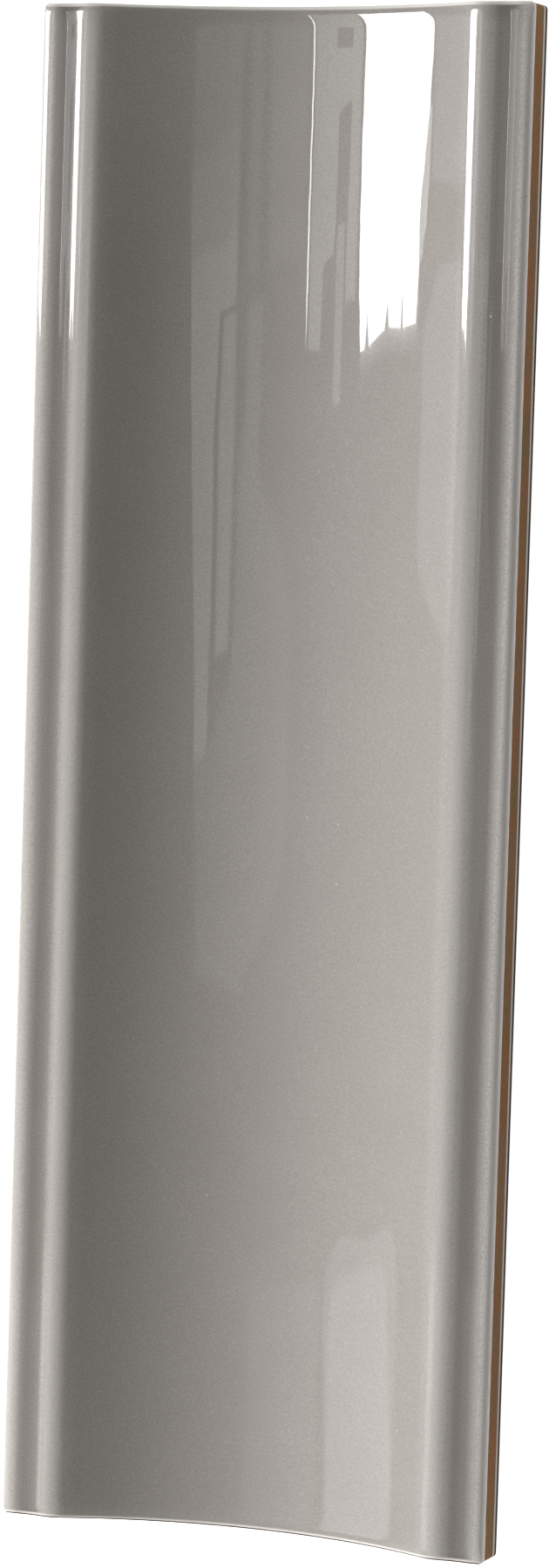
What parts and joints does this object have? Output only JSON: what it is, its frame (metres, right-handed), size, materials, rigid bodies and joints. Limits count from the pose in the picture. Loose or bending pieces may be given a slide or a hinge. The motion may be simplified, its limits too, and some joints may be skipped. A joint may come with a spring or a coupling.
{
  "type": "cove tile",
  "caption": "Long glazed ceramic trim tile: a shallow concave cove between double-beaded long edges, bare clay sides and a flat keyed strip on its back for bedding.",
  "frame": {"origin": "middle of the bedding strip on the back, the point of the bounding box's bottom face under its centre", "axes": "+Z out of the glazed face, +Y along the tile's length, +X across its width"},
  "size_m": [0.0518, 0.1524, 0.0114],
  "materials": {
    "glazed_clay": "glossy warm grey glaze on the face and its rim, darker where it pools and paler on the beads; bare red-brown fired clay on the sides, ends and back"
  },
  "bodies": {
    "root": {"cove_tile": "glazed_clay"}
  },
  "joints": []
}
